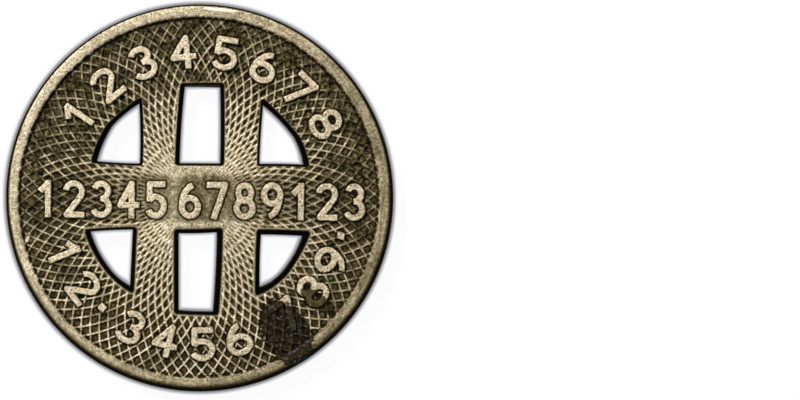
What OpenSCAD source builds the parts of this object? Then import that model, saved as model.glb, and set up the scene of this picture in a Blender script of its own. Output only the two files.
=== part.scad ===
// Pierced fare token: a struck metal disc that lies flat on its reverse.
// The obverse faces +Z, and the design's top is +Y.
// The origin is the centre of the disc, level with the rim that it lies on.

/* [Blank] */
// Diameter over the rim
token_d = 23; // [21:0.5:30]
// Thickness over both rims
token_t = 1.6; // [1.2:0.1:2.6]
// Radius that rounds the outer edge, seen in section
edge_round = 0.3; // [0.1:0.05:0.5]

/* [Rim and field] */
// Width of the raised rim on the obverse
obverse_rim_w = 0.85; // [0.6:0.05:1.2]
// Width of the raised rim on the reverse
reverse_rim_w = 0.7; // [0.6:0.05:1.2]
// Depth of each field below its rim
field_depth = 0.2; // [0.1:0.05:0.35]
// Width of the slope from the rim down to the field
rim_slope_w = 0.15; // [0.05:0.05:0.3]

/* [Piercing] */
// Diameter of the circle that ends the six windows
window_circle_d = 13.3; // [12:0.1:14]
// Width of the two middle windows
middle_window_w = 2.4; // [1.6:0.1:3.2]
// Width of each of the two uprights
upright_w = 2.25; // [1.6:0.05:2.6]
// Height of the crossbar between the upper and lower windows
crossbar_h = 4.1; // [3.6:0.1:4.8]
// Radius in the corners of the windows
window_corner_r = 0.2; // [0.05:0.05:0.4]

/* [Numerals] */
// Height that the numerals stand above the field
numeral_rise = 0.15; // [0.05:0.01:0.2]
// Width of the stroke
stroke_w = 0.46; // [0.3:0.02:0.56]
// Height of a numeral in the curved rows
curved_numeral_h = 2.05; // [1.6:0.05:2.4]
// Width of a numeral in the curved rows
curved_numeral_w = 1.6; // [1.2:0.05:1.8]
// Height of a numeral on the crossbar
level_numeral_h = 2.25; // [1.6:0.05:2.8]
// Width of a numeral on the crossbar
level_numeral_w = 1.36; // [1.1:0.02:1.44]
// Spacing of the numerals on the obverse's crossbar
obverse_level_pitch = 1.62; // [1.5:0.02:1.64]
// Spacing of the numerals on the reverse's crossbar
reverse_level_pitch = 2.75; // [2:0.05:3.4]
// Size of the square stops between the curved rows, across their flats
stop_w = 0.5; // [0.3:0.05:0.7]

/* [Hidden] */
$fn = 96;

// The blank
outer_r = token_d / 2;
half_t = token_t / 2;
field_z = half_t - field_depth;
edge_steps = 6;
// The windows overshoot both faces by this much
overshoot = 1;
// The numerals are rooted this deep in the field, so that they are one piece with it
root_depth = 0.2;
// A curve in a numeral has one point for about this many degrees
curve_step = 22.5;

// The middle of each face's ring, between the windows and the rim, carries its curved rows
window_r = window_circle_d / 2;
obverse_ring_r = (window_r + outer_r - obverse_rim_w) / 2;
reverse_ring_r = (window_r + outer_r - reverse_rim_w) / 2;

// Curved rows: [numerals, first numeral, angle of the first, step to the next]. Steps that are
// negative run clockwise with the numerals' heads outward, and the others have their feet outward.
OBVERSE_ROWS = [[8, 1, 146, -16.5], [2, 1, 202, 15.5], [4, 3, 242, 14.5], [3, 7, 307, 13.5]];
REVERSE_ROWS = [[4, 1, 150, -19], [3, 5, 65, -19], [4, 1, 197, 17], [4, 5, 274, 20]];
// Square stops on the obverse, by angle
OBVERSE_STOPS = [228.5, 345];

// Straight rows on the crossbar: [numerals, first numeral, places from the middle to the first]
OBVERSE_LEVEL = [[5, 1, -5.6], [7, 6, -0.35]];
REVERSE_LEVEL = [[3, 1, -1]];

// The numeral at place i of a row that counts up from first, with 1 after 9
function counted(first, i) = 1 + (first - 1 + i) % 9;

// Outline of a straight stroke between the ends p and q, squared off half a stroke past each
function bar(p, q, w) =
    let (run = q - p, along = run / norm(run) * w / 2, across = [-along[1], along[0]])
    [p - along - across, q + along - across, q + along + across, p - along + across];

// Outline of a curved stroke along an ellipse about c with the radii r, from angle a to angle b
function bow(c, r, a, b, w) =
    let (
        steps = ceil(abs(b - a) / curve_step),
        turns = [for (i = [0:steps]) a + (b - a) * i / steps],
        middle = [for (t = turns) c + [r[0] * cos(t), r[1] * sin(t)]],
        side = [for (t = turns) let (n = [cos(t) / r[0], sin(t) / r[1]]) n / norm(n) * w / 2]
    )
    concat([for (i = [0:steps]) middle[i] + side[i]], [for (i = [steps:-1:0]) middle[i] - side[i]]);

// Outlines of both halves of a closed loop
function loop(c, r, w) = [bow(c, r, -90, 90, w), bow(c, r, 90, 270, w)];

// The strokes of each numeral, whose middle lines fill a box that reaches x and y from its centre
function strokes(n, x, y, w) =
    n == 1 ? [bar([0.2 * x, -y], [0.2 * x, y], w), bar([-0.55 * x, 0.6 * y], [0, 0.9 * y], w)] :
    n == 2 ? [bow([0, 0.45 * y], [x, 0.55 * y], 165, -35, w),
        bar([0.75 * x, 0.1 * y], [-0.85 * x, -y], w), bar([-0.85 * x, -y], [x, -y], w)] :
    n == 3 ? [bow([0, 0.52 * y], [0.85 * x, 0.48 * y], 155, -90, w),
        bow([0, -0.48 * y], [x, 0.52 * y], 90, -155, w)] :
    n == 4 ? [bar([0.4 * x, -y], [0.4 * x, y], w), bar([0.4 * x, y], [-x, -0.35 * y], w),
        bar([-x, -0.35 * y], [x, -0.35 * y], w)] :
    n == 5 ? [bar([-0.75 * x, y], [0.8 * x, y], w), bar([-0.75 * x, y], [-0.75 * x, 0.1 * y], w),
        bow([0, -0.4 * y], [x, 0.6 * y], 140, -150, w)] :
    n == 6 ? concat(loop([0, -0.42 * y], [x, 0.58 * y], w),
        [bow([0.7 * x, -0.42 * y], [1.7 * x, 1.42 * y], 180, 105, w)]) :
    n == 7 ? [bar([-0.95 * x, y], [0.95 * x, y], w), bar([0.95 * x, y], [-0.35 * x, -y], w)] :
    n == 8 ? concat(loop([0, 0.5 * y], [0.8 * x, 0.5 * y], w), loop([0, -0.46 * y], [x, 0.54 * y], w)) :
    concat(loop([0, 0.42 * y], [x, 0.58 * y], w),
        [bow([-0.7 * x, 0.42 * y], [1.7 * x, 1.42 * y], 0, -75, w)]);

// One raised numeral, centred on the origin, with its foot in the field
module numeral(n, w, h) {
    for (outline = strokes(n, (w - stroke_w) / 2, (h - stroke_w) / 2, stroke_w))
        translate([0, 0, field_z - root_depth])
            linear_extrude(root_depth + numeral_rise) polygon(outline);
}

module curved_rows(rows, ring_r) {
    for (row = rows, i = [0:row[0] - 1])
        rotate(row[2] + i * row[3])
            translate([ring_r, 0, 0])
                rotate(row[3] < 0 ? -90 : 90)
                    numeral(counted(row[1], i), curved_numeral_w, curved_numeral_h);
}

module level_rows(rows, pitch) {
    for (row = rows, i = [0:row[0] - 1])
        translate([(row[2] + i) * pitch, 0, 0])
            numeral(counted(row[1], i), level_numeral_w, level_numeral_h);
}

module stops(angles, ring_r) {
    for (a = angles)
        rotate(a)
            translate([ring_r, 0, field_z - root_depth])
                linear_extrude(root_depth + numeral_rise) square(stop_w, center = true);
}

// Section of the blank from its axis to its edge, obverse uppermost
module blank() {
    corner = outer_r - edge_round;
    rounding = [for (i = [0:edge_steps]) 90 * i / edge_steps];
    rotate_extrude()
        polygon(concat(
            [[0, field_z], [outer_r - obverse_rim_w - rim_slope_w, field_z]],
            [[outer_r - obverse_rim_w, half_t]],
            [for (a = rounding) [corner + edge_round * sin(a), half_t - edge_round * (1 - cos(a))]],
            [for (a = rounding) [corner + edge_round * cos(a), -half_t + edge_round * (1 - sin(a))]],
            [[outer_r - reverse_rim_w, -half_t]],
            [[outer_r - reverse_rim_w - rim_slope_w, -field_z], [0, -field_z]]
        ));
}

// Two uprights and a crossbar part the circle into six windows
module windows() {
    upright_x = (middle_window_w + upright_w) / 2;
    linear_extrude(token_t + 2 * overshoot, center = true)
        offset(r = window_corner_r) offset(delta = -window_corner_r)
            difference() {
                circle(r = window_r);
                square([token_d, crossbar_h], center = true);
                for (side = [-1, 1])
                    translate([side * upright_x, 0]) square([upright_w, token_d], center = true);
            }
}

module obverse_numerals() {
    curved_rows(OBVERSE_ROWS, obverse_ring_r);
    level_rows(OBVERSE_LEVEL, obverse_level_pitch);
    stops(OBVERSE_STOPS, obverse_ring_r);
}

module reverse_numerals() {
    rotate([0, 180, 0]) {
        curved_rows(REVERSE_ROWS, reverse_ring_r);
        level_rows(REVERSE_LEVEL, reverse_level_pitch);
    }
}

module token() {
    color([0.72, 0.67, 0.55])
        translate([0, 0, half_t]) {
            difference() {
                blank();
                windows();
            }
            obverse_numerals();
            reverse_numerals();
        }
}

token();
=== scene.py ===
"""Looks of a pierced fare token: two struck faces and the walls between them, on a pale floor."""

import math
from types import SimpleNamespace

import bpy
import numpy as np
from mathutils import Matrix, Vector, kdtree
from mathutils.bvhtree import BVHTree
from mathutils.geometry import delaunay_2d_cdt


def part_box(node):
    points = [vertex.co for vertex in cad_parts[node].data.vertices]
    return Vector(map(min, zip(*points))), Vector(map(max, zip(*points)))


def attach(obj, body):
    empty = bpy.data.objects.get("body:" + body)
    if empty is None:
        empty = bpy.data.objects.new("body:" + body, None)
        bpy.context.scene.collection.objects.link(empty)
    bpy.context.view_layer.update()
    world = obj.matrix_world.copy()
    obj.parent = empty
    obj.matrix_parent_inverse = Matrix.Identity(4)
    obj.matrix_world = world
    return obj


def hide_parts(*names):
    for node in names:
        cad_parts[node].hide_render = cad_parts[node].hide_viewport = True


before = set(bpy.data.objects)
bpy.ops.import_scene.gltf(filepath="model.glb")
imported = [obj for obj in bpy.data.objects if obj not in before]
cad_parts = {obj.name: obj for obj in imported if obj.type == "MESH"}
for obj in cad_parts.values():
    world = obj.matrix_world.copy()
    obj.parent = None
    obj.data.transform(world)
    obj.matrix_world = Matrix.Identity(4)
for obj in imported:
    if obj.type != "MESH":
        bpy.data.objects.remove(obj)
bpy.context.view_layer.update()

# Lengths are in millimetres until a mesh is made or a camera or lamp is placed.
MM = 0.001
token_low, token_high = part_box("token")
OUTER_R = (token_high.x - token_low.x) / 2 / MM
HALF_T = (token_high.z - token_low.z) / 2 / MM

# ---------------------------------------------------------------- sizes of the strike

# The rounding of the outer edge, and the slope from the rim down to the field
EDGE_ROUND = 0.3
FIELD_DEPTH = 0.2
SLOPE_W = 0.18
# The circle that ends the windows. The curved rows run midway between it and the rim.
WINDOW_R = 6.65

# The lattice is a rosette: circles that all pass through one middle point, evenly turned.
ROSETTE_CIRCLES = 90
ROSETTE_CIRCLE_R = 0.685 * OUTER_R
# The rows of mesh points end here, where the ridges run together.
ROSETTE_EYE_R = 0.5
# The share of ridge in the lattice on the whole
MEAN_RIDGES = 0.4

# How far across the rim its crown is highest
CROWN_PLACE = 0.4

# A stroke is this much narrower on top than halfway down its walls.
STROKE_TAPER = 0.12
STOP_W = 0.46

# Width of the lip that rolls over into the windows, above the crossbar and below it
UPPER_ROLL_W = 0.14
LOWER_ROLL_W = 0.26

# The faces as they are read. "die" and "toning" hold inputs of the node groups by name:
# - Turn left and Turn right are where the ridges that lean each way start, in steps of the lattice.
# - Plain band is the width of plain metal beside the two middle windows.
# - Wears and tones run from 0, dark, to 1, rubbed bright, and Level shade darkens between the
#   level numerals. A lean is the change towards +X and +Y. Unworn side is 1 where the ring is
#   rubbed less on its +X side, and -1 for the other side.
# - The rim's lean is partly painted light, one side brighter as if lit from there, and partly
#   tarnish. Edge dark sets a black line of painted shade along the outer edge.
# A curved row is numerals, first numeral, angle of the first, and step to the next. Steps that are
# negative run clockwise with the heads outward. A level row is numerals, first numeral, and places
# from the middle to the first.
FACES = {
    "obverse": {
        "side": 1,
        "die": {
            "Rim radius": 10.69,
            "Rim x": -0.05,
            "Rim y": 0.03,
            "Rosette x": -0.206,
            "Rosette y": -0.111,
            "Turn left": 0.48,
            "Turn right": 0.423,
            "Plain band": 0.22,
        },
        "toning": {
            "Upper wear": 0.12,
            "Lower wear": 0.72,
            "Beside level wear": 0.02,
            "Unworn side": 1,
            "Floor tone": 0.12,
            "Level shade": 0.28,
            "Shade reach": 0.78,
            "Rim tone": 0.66,
            "Rim lean x": -0.1,
            "Rim lean y": 0.055,
            "Edge dark width": 0.36,
            "Edge dark x": -0.05,
            "Edge dark y": 0.2,
        },
        "wear_seed": 0.0,
        "stroke_w": 0.4,
        "curved_numeral": (1.6, 2.05),
        "level_numeral": (1.36, 2.25),
        "curved": [(8, 1, 146, -16.5), (2, 1, 202, 15.5), (4, 3, 242, 14.5), (3, 7, 307, 13.5)],
        "level": [(5, 1, -5.6), (7, 6, -0.35)],
        "level_pitch": 1.62,
        "level_tilt": -0.66,
        "level_y": -0.155,
        "stops": [228.5, 345],
    },
    "reverse": {
        "side": -1,
        "die": {
            "Rim radius": 10.8,
            "Rim x": 0.0,
            "Rim y": 0.08,
            "Rosette x": -0.008,
            "Rosette y": 0.12,
            "Turn left": 0.295,
            "Turn right": 0.041,
            "Plain band": 0.2,
        },
        "toning": {
            "Upper wear": 0.46,
            "Lower wear": 0.75,
            "Beside level wear": 0.15,
            "Unworn side": -1,
            "Floor tone": 0.087,
            "Level shade": 0.25,
            "Shade reach": 1.6,
            "Rim tone": 0.77,
            "Rim lean x": 0.024,
            "Rim lean y": 0.03,
            "Edge dark width": 0.25,
            "Edge dark x": 0.0,
            "Edge dark y": 0.06,
        },
        "wear_seed": 40.0,
        "stroke_w": 0.48,
        "curved_numeral": (1.8, 2.3),
        "level_numeral": (1.8, 2.5),
        "curved": [(4, 1, 150, -19), (3, 5, 65, -19), (4, 1, 197, 17), (4, 5, 274, 20)],
        "level": [(3, 1, -1)],
        "level_pitch": 2.75,
        "level_tilt": 0.0,
        "level_y": 0.0,
        "stops": [],
    },
}

# The corners of each hand-cut window where it meets each face, all as seen from the obverse and
# going round from one that is nearest the rim. The side that leaves a corner swells outward by
# that corner's bulge, and its wall has moved in by the corner's walls halfway through the token.
WINDOWS = {
    "upper_middle": {
        "obverse": [(-1.04, 6.69), (1.36, 6.7), (1.36, 2.0), (-1.36, 2.02)],
        "reverse": [(-1.15, 6.64), (1.25, 6.6), (1.37, 1.87), (-1.41, 1.91)],
        "bulge": [0.02, 0.03, 0.0, 0.05],
        "walls": [0.04, 0.14, 0.05, 0.17],
    },
    "lower_middle": {
        "obverse": [(1.02, -6.84), (-1.4, -6.76), (-1.4, -1.97), (1.27, -1.9)],
        "reverse": [(1.02, -6.97), (-1.34, -6.73), (-1.37, -1.81), (1.3, -1.98)],
        "bulge": [0.02, 0.0, -0.03, 0.04],
        "walls": [0.08, 0.15, 0.14, 0.24],
    },
    "upper_left": {
        "obverse": [(-3.5, 5.85), (-3.46, 2.0), (-6.34, 2.16), (-5.4, 4.3)],
        "reverse": [(-3.59, 5.8), (-3.42, 2.03), (-6.41, 1.95), (-5.25, 4.28)],
        "bulge": [0.05, 0.03, 0.1, 0.06],
        "walls": [0.1, 0.04, 0.21, 0.12],
    },
    "upper_right": {
        "obverse": [(3.74, 5.78), (3.5, 1.97), (6.4, 1.92), (5.84, 3.56)],
        "reverse": [(3.73, 5.56), (3.48, 1.84), (6.37, 1.94), (5.4, 4.18)],
        "bulge": [0.03, -0.02, 0.08, 0.08],
        "walls": [0.06, 0.06, 0.21, 0.14],
    },
    "lower_left": {
        "obverse": [(-4.0, -5.52), (-3.82, -1.84), (-6.68, -1.98), (-5.66, -4.02)],
        "reverse": [(-3.85, -5.51), (-3.66, -1.76), (-6.66, -1.79), (-5.46, -4.28)],
        "bulge": [0.0, 0.03, 0.1, 0.12],
        "walls": [0.16, 0.04, 0.15, 0.12],
    },
    "lower_right": {
        "obverse": [(3.4, -5.68), (3.5, -1.98), (6.45, -2.08), (5.12, -4.46)],
        "reverse": [(3.61, -5.63), (3.58, -1.86), (6.45, -2.09), (5.3, -4.32)],
        "bulge": [0.03, 0.02, 0.1, 0.12],
        "walls": [0.16, 0.2, 0.21, 0.21],
    },
}
# The first windows are the middle ones, which have plain metal beside them.
MIDDLE_WINDOWS = 2

# ---------------------------------------------------------------- spacing of the mesh points

EDGE_POINTS = 560
WINDOW_SIDE_POINTS = 48
# Passes that soften the windows' corners
WINDOW_CORNER_SMOOTHING = 1
# Rows down the walls: share of the way up to the face, and share of the wall's lean there
WALL_ROWS = ((0.93, 0.6), (0.84, 0.25), (0.62, 0.1), (0.05, 0.0), (0.0, 0.0))
# Rows across the windows' rolled lips, by their distance from the opening
ROLL_ROWS = (0.03, 0.07, 0.12)
# Rows across each cell of the lattice, in shares of its width, from one ridge to the next
CELL_STEPS = (0.0, 0.1, 0.22, 0.4, 0.6, 0.78, 0.9)
# Rows along the strokes of the numerals, by their distance outside them, and the spacing of the
# points along a row and on top of the numerals
NUMERAL_ROWS = (-0.035, 0.0, 0.03, 0.06, 0.1)
NUMERAL_ROW_STEP = 0.085
NUMERAL_TOP_STEP = 0.13
# Rings up the slope, which reach this far onto the rim, then over its top and round its edge
SLOPE_RINGS = 8
RIM_WAVER = 0.06
RIM_RINGS = 4
EDGE_ROUND_ANGLES = (18, 36, 54, 72)
# Angles of the points along a curved stroke and round the end of a straight one
BOW_STEP_DEGREES = 12
ROUND_END_ANGLES = (15, 40, 65, 90)
# Points of different rows keep this far apart.
LEAST_GAP = 0.035
# A row's point is dropped where another stroke is nearer than its own by more than this.
STRAY_TOLERANCE = 0.004
# A point this near a stroke counts as on top of it.
ON_TOP_TOLERANCE = 1e-4

# ---------------------------------------------------------------- objects and node trees


def add_object(name, data):
    obj = bpy.data.objects.new(name, data)
    bpy.context.scene.collection.objects.link(obj)
    return obj


def new_mesh(name, vertices, faces):
    mesh = bpy.data.meshes.new(name)
    mesh.from_pydata(vertices, [], faces)
    return mesh


def emptied_tree(owner):
    """The node tree of a material or a world, with nothing in it."""
    owner.use_nodes = True
    owner.node_tree.nodes.clear()
    return owner.node_tree


class Wire:
    """A number flowing through a node tree. Arithmetic on wires adds Math nodes to the tree."""

    def __init__(self, tree, socket):
        self.tree = tree
        self.socket = socket

    def math(self, operation, *others):
        node = self.tree.nodes.new("ShaderNodeMath")
        node.operation = operation
        for socket, value in zip(node.inputs, (self, *others)):
            feed(self.tree, socket, value)
        return Wire(self.tree, node.outputs[0])

    def __add__(self, other):
        return self.math("ADD", other)

    def __sub__(self, other):
        return self.math("SUBTRACT", other)

    def __mul__(self, other):
        return self.math("MULTIPLY", other)

    def __truediv__(self, other):
        return self.math("DIVIDE", other)

    def __rsub__(self, other):
        return (self * -1.0) + other

    def __neg__(self):
        return self * -1.0

    __radd__ = __add__
    __rmul__ = __mul__

    def least(self, other):
        return self.math("MINIMUM", other)

    def most(self, other):
        return self.math("MAXIMUM", other)

    def magnitude(self):
        return self.math("ABSOLUTE")

    def root(self):
        return self.most(0.0).math("SQRT")


def feed(tree, socket, value):
    if isinstance(value, Wire):
        tree.links.new(value.socket, socket)
    else:
        socket.default_value = value


def ramp(x, start, end):
    """0 up to start, 1 from end, and a smooth step between them."""
    node = x.tree.nodes.new("ShaderNodeMapRange")
    node.interpolation_type = "SMOOTHSTEP"
    feed(x.tree, node.inputs["Value"], x)
    feed(x.tree, node.inputs["From Min"], start)
    feed(x.tree, node.inputs["From Max"], end)
    return Wire(x.tree, node.outputs["Result"])


def blend(a, b, share):
    """a where share is 0, b where it is 1."""
    return share * (b - a) + a


def bell(x, centre, width):
    """1 at centre, falling to a third within width on either side."""
    scaled = (x - centre) / width
    return (-(scaled * scaled)).math("EXPONENT")


def noise(tree, vector, scale, detail=2.0, roughness=0.5):
    """Even noise from 0 to 1 with about scale features to the unit of vector."""
    node = tree.nodes.new("ShaderNodeTexNoise")
    node.inputs["Detail"].default_value = detail
    node.inputs["Roughness"].default_value = roughness
    feed(tree, node.inputs["Vector"], vector)
    feed(tree, node.inputs["Scale"], scale)
    return Wire(tree, node.outputs["Fac"])


def split_vector(tree, vector):
    node = tree.nodes.new("ShaderNodeSeparateXYZ")
    feed(tree, node.inputs[0], vector)
    return [Wire(tree, socket) for socket in node.outputs]


def joined_vector(tree, x, y, z):
    node = tree.nodes.new("ShaderNodeCombineXYZ")
    for socket, value in zip(node.inputs, (x, y, z)):
        feed(tree, socket, value)
    return Wire(tree, node.outputs[0])


def radius(x, y):
    return (x * x + y * y).root()


def give_inputs(tree, others, numbers):
    """Makes a group's inputs, others by their kinds and numbers by their values, and gives their
    wires by name, as in at.rim_radius. Callers add what else their nodes read at a place."""
    for name, kind in others.items():
        tree.interface.new_socket(name, in_out="INPUT", socket_type="NodeSocket" + kind)
    for name, value in numbers.items():
        socket = tree.interface.new_socket(name, in_out="INPUT", socket_type="NodeSocketFloat")
        socket.default_value = value
    source = tree.nodes.new("NodeGroupInput")
    wires = {name: Wire(tree, source.outputs[name]) for name in (*others, *numbers)}
    named = {name.lower().replace(" ", "_"): wire for name, wire in wires.items()}
    return SimpleNamespace(tree=tree, **named)


def give_outputs(tree, kind, wires):
    """Names a group's outputs, all of one kind, and joins each to its wire."""
    for name in wires:
        tree.interface.new_socket(name, in_out="OUTPUT", socket_type="NodeSocket" + kind)
    outputs = tree.nodes.new("NodeGroupOutput")
    for name, wire in wires.items():
        tree.links.new(wire.socket, outputs.inputs[name])


# Inputs that the strike's nodes and the metal's nodes share, in millimetres or numbers of cells
DIE_INPUTS = {
    "Outer radius": OUTER_R,
    "Circles": ROSETTE_CIRCLES,
    "Circle radius": ROSETTE_CIRCLE_R,
    "Ridge half width": 0.075,
    "Upper roll": UPPER_ROLL_W,
    "Lower roll": LOWER_ROLL_W,
    **FACES["obverse"]["die"],
}


def rosette_gaps(at):
    """Millimetres from the place to the nearest ridge that leans each way."""
    x = at.x - at.rosette_x
    y = at.y - at.rosette_y
    r = radius(x, y)
    lean = (r / (at.circle_radius * 2.0)).math("ARCCOSINE")
    turn = y.math("ARCTAN2", x)
    pitch = r * lean.math("SINE") * (2 * math.pi) / at.circles
    gaps = []
    for way, start in ((-1.0, at.turn_left), (1.0, at.turn_right)):
        cells = (turn + lean * way) * at.circles / (2 * math.pi) - start
        gaps.append(((cells + 0.5).math("FRACT") - 0.5).magnitude() * pitch)
    return gaps


def both(a, b):
    """The share covered by either of two shares."""
    return 1.0 - (1.0 - a) * (1.0 - b)


def find_place(at, design):
    """Adds what both the strike and the metal read of a design place on the face. The windows'
    rolled lip is wider below the crossbar."""
    at.x, at.y, _ = split_vector(at.tree, design)
    at.r = radius(at.x, at.y)
    at.roll_w = blend(at.upper_roll, at.lower_roll, ramp(at.y, 0.8, -0.8))


# ---------------------------------------------------------------- numerals


def from_axis(r, degrees):
    """The point at r from the origin, at an angle from +X."""
    return r * np.array([math.cos(math.radians(degrees)), math.sin(math.radians(degrees))])


def bar(p, q, w, ends="square square"):
    """Outline of a straight stroke from p to q. A square end reaches half a stroke past its
    point, and a round one, for where strokes join, is a half circle about it."""
    p, q = np.array(p, float), np.array(q, float)
    length = np.linalg.norm(q - p)
    along = (q - p) / length
    across = np.array([-along[1], along[0]])
    tips = []
    for end in ends.split():
        if end == "square":
            tips.append([(w / 2, w / 2)])
        else:
            tips.append([tuple(from_axis(w / 2, t)) for t in ROUND_END_ANGLES])
    profile = [(-past, half) for past, half in tips[0]]
    profile += [(length + past, half) for past, half in reversed(tips[1])]
    right = [p + along * t - across * half for t, half in profile]
    left = [p + along * t + across * half for t, half in reversed(profile)]
    return np.array(right + left)


def bow(centre, radii, start, end, w):
    """Outline of a stroke along an ellipse about centre, from the angle start to the angle end."""
    steps = math.ceil(abs(end - start) / BOW_STEP_DEGREES)
    turns = np.radians(np.linspace(start, end, steps + 1))
    spokes = np.column_stack([np.cos(turns), np.sin(turns)])
    middle = np.array(centre) + spokes * radii
    normals = spokes / radii
    side = normals / np.linalg.norm(normals, axis=1)[:, None] * w / 2
    outline = np.concatenate([middle + side, (middle - side)[::-1]])
    return outline if end > start else outline[::-1]


def loop(centre, radii, w):
    return [bow(centre, radii, -90, 90, w), bow(centre, radii, 90, 270, w)]


def strokes(n, x, y, w):
    """Outlines of numeral n, whose strokes' middle lines reach x and y from its centre."""
    if n == 1:
        flag = bar((-0.55 * x, 0.6 * y), (0, 0.9 * y), w, "square round")
        return [bar((0.2 * x, -y), (0.2 * x, y), w), flag]
    if n == 2:
        return [
            bow((0, 0.45 * y), (x, 0.55 * y), 165, -35, w),
            bar((0.77 * x, 0.12 * y), (-0.85 * x, -y), w, "round round"),
            bar((-0.85 * x, -y), (x, -y), w, "round square"),
        ]
    if n == 3:
        return [
            bow((0, 0.52 * y), (0.85 * x, 0.48 * y), 155, -90, w),
            bow((0, -0.48 * y), (x, 0.52 * y), 90, -155, w),
        ]
    if n == 4:
        return [
            bar((0.4 * x, -y), (0.4 * x, y), w, "square round"),
            bar((0.4 * x, y), (-x, -0.35 * y), w, "round round"),
            bar((-x, -0.35 * y), (x, -0.35 * y), w, "round square"),
        ]
    if n == 5:
        return [
            bar((-0.75 * x, y), (0.8 * x, y), w, "round square"),
            bar((-0.75 * x, y), (-0.75 * x, 0.1 * y), w, "round square"),
            bow((0, -0.4 * y), (x, 0.6 * y), 140, -150, w),
        ]
    if n == 6:
        stem = bow((0.7 * x, -0.42 * y), (1.7 * x, 1.42 * y), 180, 105, w)
        return loop((0, -0.42 * y), (x, 0.58 * y), w) + [stem]
    if n == 7:
        stem = bar((0.95 * x, y), (-0.35 * x, -y), w, "round square")
        return [bar((-0.95 * x, y), (0.95 * x, y), w, "square round"), stem]
    if n == 8:
        return loop((0, 0.5 * y), (0.8 * x, 0.5 * y), w) + loop((0, -0.46 * y), (x, 0.54 * y), w)
    stem = bow((-0.7 * x, 0.42 * y), (1.7 * x, 1.42 * y), 0, -75, w)
    return loop((0, 0.42 * y), (x, 0.58 * y), w) + [stem]


def placed(outline, angle, centre):
    """The outline turned by angle degrees about the origin, then moved to centre."""
    c, s = from_axis(1, angle)
    return outline @ np.array([[c, s], [-s, c]]) + centre


def numeral(first, i, size, stroke_w, angle, centre):
    n = 1 + (first - 1 + i) % 9
    width, height = size
    outlines = strokes(n, (width - stroke_w) / 2, (height - stroke_w) / 2, stroke_w - STROKE_TAPER)
    return [placed(outline, angle, centre) for outline in outlines]


def face_numerals(face):
    """Outlines of every stroke and stop on a face, as seen from above the obverse."""
    ring_r = (WINDOW_R + face["die"]["Rim radius"]) / 2
    stroke_w = face["stroke_w"]
    outlines = []
    for count, first, start, step in face["curved"]:
        for i in range(count):
            angle = start + i * step
            upright = angle + (-90 if step < 0 else 90)
            place = from_axis(ring_r, angle)
            outlines += numeral(first, i, face["curved_numeral"], stroke_w, upright, place)
    tilt = face["level_tilt"]
    for count, first, steps in face["level"]:
        for i in range(count):
            place = from_axis((steps + i) * face["level_pitch"], tilt) + (0, face["level_y"])
            outlines += numeral(first, i, face["level_numeral"], stroke_w, tilt, place)
    stop = np.array([(-1, -1), (1, -1), (1, 1), (-1, 1)]) * (STOP_W - STROKE_TAPER) / 2
    outlines += [placed(stop, angle, from_axis(ring_r, angle)) for angle in face["stops"]]
    if face["side"] < 0:
        outlines = [(outline * (-1, 1))[::-1] for outline in outlines]
    return outlines


def offset_row(outline, gap):
    """Points at gap outside an outline that runs anticlockwise, in a row with no wide steps."""
    ahead = np.roll(outline, -1, axis=0) - outline
    lengths = np.linalg.norm(ahead, axis=1)
    normals = np.column_stack([ahead[:, 1], -ahead[:, 0]]) / lengths[:, None]
    points = []
    for i, corner in enumerate(outline):
        steps = max(1, round(lengths[i] / NUMERAL_ROW_STEP))
        for step in range(steps):
            points.append(corner + ahead[i] * step / steps + normals[i] * gap)
        after = normals[(i + 1) % len(outline)]
        swing = math.acos(max(-1, min(1, float(normals[i] @ after))))
        steps = math.ceil(swing * gap / NUMERAL_ROW_STEP)
        for step in range(1, steps):
            share = step / steps
            between = normals[i] * (1 - share) + after * share
            points.append(corner + ahead[i] + between / np.linalg.norm(between) * gap)
    return np.array(points)


# ---------------------------------------------------------------- windows


def window_loop(corners, bulges):
    """A closed row of points round a window: four bulging sides with softened corners."""
    corners = np.array(corners)
    rows = []
    for a, b, bulge in zip(corners, np.roll(corners, -1, axis=0), bulges):
        t = np.arange(WINDOW_SIDE_POINTS)[:, None] / WINDOW_SIDE_POINTS
        side = b - a
        out = np.array([side[1], -side[0]]) / np.linalg.norm(side)
        out *= np.sign(out @ ((a + b) / 2 - corners.mean(axis=0)))
        rows.append(a + side * t + out * bulge * 4 * t * (1 - t))
    return smoothed(np.concatenate(rows), WINDOW_CORNER_SMOOTHING)


def smoothed(points, passes):
    for _ in range(passes):
        points = (np.roll(points, 1, axis=0) + 2 * points + np.roll(points, -1, axis=0)) / 4
    return points


def anticlockwise(points):
    x, y = points[:, 0], points[:, 1]
    area = np.sum(x * np.roll(y, -1) - y * np.roll(x, -1))
    return points if area > 0 else points[::-1]


def outward_normals(points):
    """Unit normals that point out of an anticlockwise loop."""
    tangent = np.roll(points, -1, axis=0) - np.roll(points, 1, axis=0)
    normals = np.column_stack([tangent[:, 1], -tangent[:, 0]])
    return normals / np.linalg.norm(normals, axis=1)[:, None]


def drawn_in(corners, gaps):
    """The corners of a window whose sides have each moved in by their own gap."""
    ahead = np.roll(corners, -1, axis=0) - corners
    ahead /= np.linalg.norm(ahead, axis=1)[:, None]
    inward = np.column_stack([-ahead[:, 1], ahead[:, 0]])
    if inward[1] @ ahead[0] > 0:
        inward = -inward
    moves = [np.linalg.solve([inward[k - 1], inward[k]], [gaps[k - 1], gaps[k]]) for k in range(4)]
    return corners + moves


def inner_loop(window, gap):
    """The window's loop at gap inside its narrowest place, halfway through the token."""
    corners = drawn_in(np.array(window["obverse"]), np.array(window["walls"]) + gap)
    return anticlockwise(window_loop(corners, window["bulge"]))


def window_loops(face_name):
    """For each window, its loop on this face and its smaller loop halfway through the token."""
    loops = []
    for window in WINDOWS.values():
        own = anticlockwise(window_loop(window[face_name], window["bulge"]))
        loops.append((own, inner_loop(window, 0.0)))
    return loops


# ---------------------------------------------------------------- mesh of one half


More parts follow.
